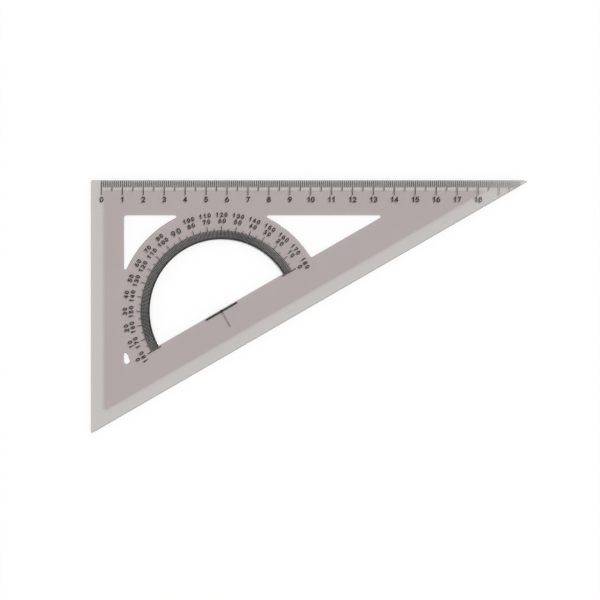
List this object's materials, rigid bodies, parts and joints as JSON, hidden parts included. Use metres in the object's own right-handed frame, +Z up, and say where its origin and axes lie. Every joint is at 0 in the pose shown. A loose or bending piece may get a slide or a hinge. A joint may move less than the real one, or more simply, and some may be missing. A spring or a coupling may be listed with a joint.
{
  "type": "drafting triangle with protractor",
  "caption": "Clear smoke-grey 30-60-90 degree drafting triangle with a centimetre ruler along its long leg and a half-circle protractor ring inside its open frame.",
  "frame": {"origin": "on the table under the middle of the plan's bounding box", "axes": "+X along the ruler edge towards the sharp 30 degree corner, +Y from the hypotenuse towards the ruler edge, +Z up out of the printed face"},
  "size_m": [0.2084, 0.1208, 0.0021],
  "materials": {
    "smoke_plastic": "clear smoke-grey moulded plastic, polished faces",
    "black_ink": "black printing ink, satin"
  },
  "bodies": {
    "root": {"triangle_plate": "smoke_plastic", "millimetre_ticks": "black_ink", "half_centimetre_ticks": "black_ink", "centimetre_ticks": "black_ink", "degree_ticks": "black_ink", "five_degree_ticks": "black_ink", "ten_degree_ticks": "black_ink", "baseline_marks": "black_ink", "centre_mark": "black_ink"}
  },
  "joints": []
}
